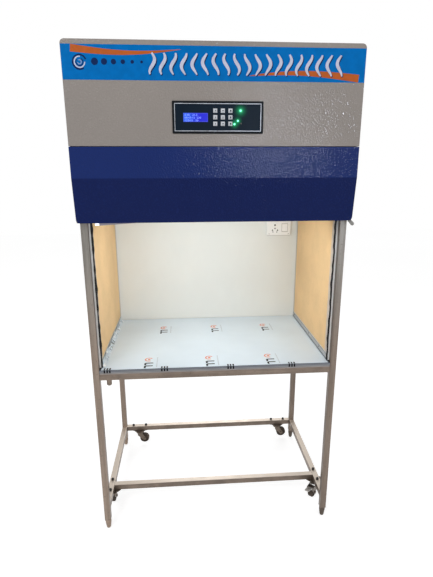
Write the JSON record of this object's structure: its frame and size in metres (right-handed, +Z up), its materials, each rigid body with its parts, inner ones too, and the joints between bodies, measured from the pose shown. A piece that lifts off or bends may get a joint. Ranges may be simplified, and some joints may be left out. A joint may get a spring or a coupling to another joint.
{
  "type": "laminar flow hood",
  "caption": "Vertical laminar flow cabinet: a boxed hood with filter, blower and keypad over an open-fronted chamber and worktop, on a tube stand with screw feet and swivel castors",
  "frame": {"origin": "on the floor, under the middle of the hood", "axes": "+Z up, the open front faces -Y, +X to the right seen from the front"},
  "size_m": [1.0182, 0.7061, 1.88],
  "materials": {
    "stand_paint": "grey-brown painted square steel tube",
    "worktop_steel": "stainless sheet over board",
    "film": "clear protective film on the worktop",
    "masked_sheet": "acrylic wall under its tan masking paper",
    "channel": "pale grey folded channel",
    "gasket": "black rubber gasket",
    "back_paint": "cream painted sheet",
    "socket_white": "off-white moulded accessory",
    "hood_grey": "grey textured powder coat",
    "hood_blue": "dark blue textured powder coat",
    "bezel": "black moulded rim",
    "fascia": "dark navy overlay",
    "display": "backlit blue display",
    "keys": "silver-white key caps",
    "lamps": "green lamps",
    "zinc": "galvanised sheet",
    "filter_paper": "pleated filter media in a frame",
    "grille_white": "white painted slotted sheet",
    "motor_paint": "dark motor enamel",
    "lamp_glow": "frosted LED diffuser",
    "catch_grey": "grey tongue",
    "gland_black": "black nylon",
    "foot_plastic": "grey-brown moulded foot with a steel stud",
    "castor_steel": "dark pressed steel",
    "castor_tread": "dark rubber wheel"
  },
  "bodies": {
    "stand": {"leg_front_left": "stand_paint", "leg_front_right": "stand_paint", "leg_rear_left": "stand_paint", "leg_rear_right": "stand_paint", "base_frame": "stand_paint", "table_frame": "stand_paint", "worktop": "worktop_steel", "worktop_film": "film", "side_sheet_left": "masked_sheet", "side_sheet_right": "masked_sheet", "side_frame_left": "channel", "side_frame_right": "channel", "front_gaskets": "gasket", "back_panel": "back_paint", "socket_plate": "socket_white", "hood_front_panel": "hood_grey", "hood_apron": "hood_blue", "hood_wrap": "hood_grey", "hood_top_cover": "hood_grey", "control_bezel": "bezel", "control_fascia": "fascia", "display_window": "display", "indicator_lamps": "lamps", "filter_tray": "zinc", "hepa_filter": "filter_paper", "diffuser_grille": "grille_white", "blower_deck": "zinc", "pre_filter": "filter_paper", "blower_housing": "zinc", "blower_motor": "motor_paint", "lamp_batten": "zinc", "lamp_diffuser": "lamp_glow", "hood_catch": "catch_grey", "cable_gland": "gland_black", "castor_plates": "castor_steel"},
    "foot_front_left": {"foot_front_left": "foot_plastic"},
    "foot_front_right": {"foot_front_right": "foot_plastic"},
    "foot_rear_left": {"foot_rear_left": "foot_plastic"},
    "foot_rear_right": {"foot_rear_right": "foot_plastic"},
    "castor_front_left": {"castor_fork_front_left": "castor_steel"},
    "wheel_front_left": {"castor_wheel_front_left": "castor_tread"},
    "pedal_front_left": {"brake_pedal_front_left": "zinc"},
    "castor_front_right": {"castor_fork_front_right": "castor_steel"},
    "wheel_front_right": {"castor_wheel_front_right": "castor_tread"},
    "pedal_front_right": {"brake_pedal_front_right": "zinc"},
    "castor_rear_left": {"castor_fork_rear_left": "castor_steel"},
    "wheel_rear_left": {"castor_wheel_rear_left": "castor_tread"},
    "castor_rear_right": {"castor_fork_rear_right": "castor_steel"},
    "wheel_rear_right": {"castor_wheel_rear_right": "castor_tread"},
    "key_1": {"key_1": "keys"},
    "key_2": {"key_2": "keys"},
    "key_3": {"key_3": "keys"},
    "key_4": {"key_4": "keys"},
    "key_5": {"key_5": "keys"},
    "key_6": {"key_6": "keys"},
    "key_7": {"key_7": "keys"},
    "key_8": {"key_8": "keys"},
    "key_9": {"key_9": "keys"},
    "rocker": {"socket_rocker": "socket_white"},
    "impeller": {"blower_impeller": "zinc"}
  },
  "joints": [
    {"name": "foot_front_left_screw", "type": "slide", "parent": "stand", "child": "foot_front_left", "axis": [0, 0, -1], "range_m": [0, 0.02]},
    {"name": "foot_front_right_screw", "type": "slide", "parent": "stand", "child": "foot_front_right", "axis": [0, 0, -1], "range_m": [0, 0.02]},
    {"name": "foot_rear_left_screw", "type": "slide", "parent": "stand", "child": "foot_rear_left", "axis": [0, 0, -1], "range_m": [0, 0.02]},
    {"name": "foot_rear_right_screw", "type": "slide", "parent": "stand", "child": "foot_rear_right", "axis": [0, 0, -1], "range_m": [0, 0.02]},
    {"name": "castor_front_left_swivel", "type": "hinge", "parent": "stand", "child": "castor_front_left", "pos_m": [-0.4688, -0.158, 0.077], "axis": [0, 0, 1], "continuous": true},
    {"name": "wheel_front_left_roll", "type": "hinge", "parent": "castor_front_left", "child": "wheel_front_left", "pos_m": [-0.4688, -0.134, 0.04], "axis": [-1, 0, 0], "continuous": true},
    {"name": "pedal_front_left_tilt", "type": "hinge", "parent": "castor_front_left", "child": "pedal_front_left", "pos_m": [-0.4688, -0.112, 0.068], "axis": [-1, 0, 0], "range_deg": [0, 15]},
    {"name": "castor_front_right_swivel", "type": "hinge", "parent": "stand", "child": "castor_front_right", "pos_m": [0.4688, -0.158, 0.077], "axis": [0, 0, 1], "continuous": true},
    {"name": "wheel_front_right_roll", "type": "hinge", "parent": "castor_front_right", "child": "wheel_front_right", "pos_m": [0.45274, -0.17583, 0.04], "axis": [0.7431, -0.6691, 0], "continuous": true},
    {"name": "pedal_front_right_tilt", "type": "hinge", "parent": "castor_front_right", "child": "pedal_front_right", "pos_m": [0.43802, -0.19218, 0.068], "axis": [0.7431, -0.6691, 0], "range_deg": [0, 15]},
    {"name": "castor_rear_left_swivel", "type": "hinge", "parent": "stand", "child": "castor_rear_left", "pos_m": [-0.387, 0.3173, 0.077], "axis": [0, 0, 1], "continuous": true},
    {"name": "wheel_rear_left_roll", "type": "hinge", "parent": "castor_rear_left", "child": "wheel_rear_left", "pos_m": [-0.363, 0.3173, 0.04], "axis": [0, 1, 0], "continuous": true},
    {"name": "castor_rear_right_swivel", "type": "hinge", "parent": "stand", "child": "castor_rear_right", "pos_m": [0.387, 0.3173, 0.077], "axis": [0, 0, 1], "continuous": true},
    {"name": "wheel_rear_right_roll", "type": "hinge", "parent": "castor_rear_right", "child": "wheel_rear_right", "pos_m": [0.411, 0.3173, 0.04], "axis": [0, 1, 0], "continuous": true},
    {"name": "key_1_press", "type": "slide", "parent": "stand", "child": "key_1", "axis": [0, 1, 0], "range_m": [0, 0.001], "stiffness_N_per_m": 400, "springref_m": -0.001},
    {"name": "key_2_press", "type": "slide", "parent": "stand", "child": "key_2", "axis": [0, 1, 0], "range_m": [0, 0.001], "stiffness_N_per_m": 400, "springref_m": -0.001},
    {"name": "key_3_press", "type": "slide", "parent": "stand", "child": "key_3", "axis": [0, 1, 0], "range_m": [0, 0.001], "stiffness_N_per_m": 400, "springref_m": -0.001},
    {"name": "key_4_press", "type": "slide", "parent": "stand", "child": "key_4", "axis": [0, 1, 0], "range_m": [0, 0.001], "stiffness_N_per_m": 400, "springref_m": -0.001},
    {"name": "key_5_press", "type": "slide", "parent": "stand", "child": "key_5", "axis": [0, 1, 0], "range_m": [0, 0.001], "stiffness_N_per_m": 400, "springref_m": -0.001},
    {"name": "key_6_press", "type": "slide", "parent": "stand", "child": "key_6", "axis": [0, 1, 0], "range_m": [0, 0.001], "stiffness_N_per_m": 400, "springref_m": -0.001},
    {"name": "key_7_press", "type": "slide", "parent": "stand", "child": "key_7", "axis": [0, 1, 0], "range_m": [0, 0.001], "stiffness_N_per_m": 400, "springref_m": -0.001},
    {"name": "key_8_press", "type": "slide", "parent": "stand", "child": "key_8", "axis": [0, 1, 0], "range_m": [0, 0.001], "stiffness_N_per_m": 400, "springref_m": -0.001},
    {"name": "key_9_press", "type": "slide", "parent": "stand", "child": "key_9", "axis": [0, 1, 0], "range_m": [0, 0.001], "stiffness_N_per_m": 400, "springref_m": -0.001},
    {"name": "socket_rocker_tilt", "type": "hinge", "parent": "stand", "child": "rocker", "pos_m": [0.3855, 0.2956, 1.2098], "axis": [1, 0, 0], "range_deg": [0, 10]},
    {"name": "impeller_spin", "type": "hinge", "parent": "stand", "child": "impeller", "pos_m": [0, 0.04, 1.6615], "axis": [1, 0, 0], "continuous": true}
  ]
}
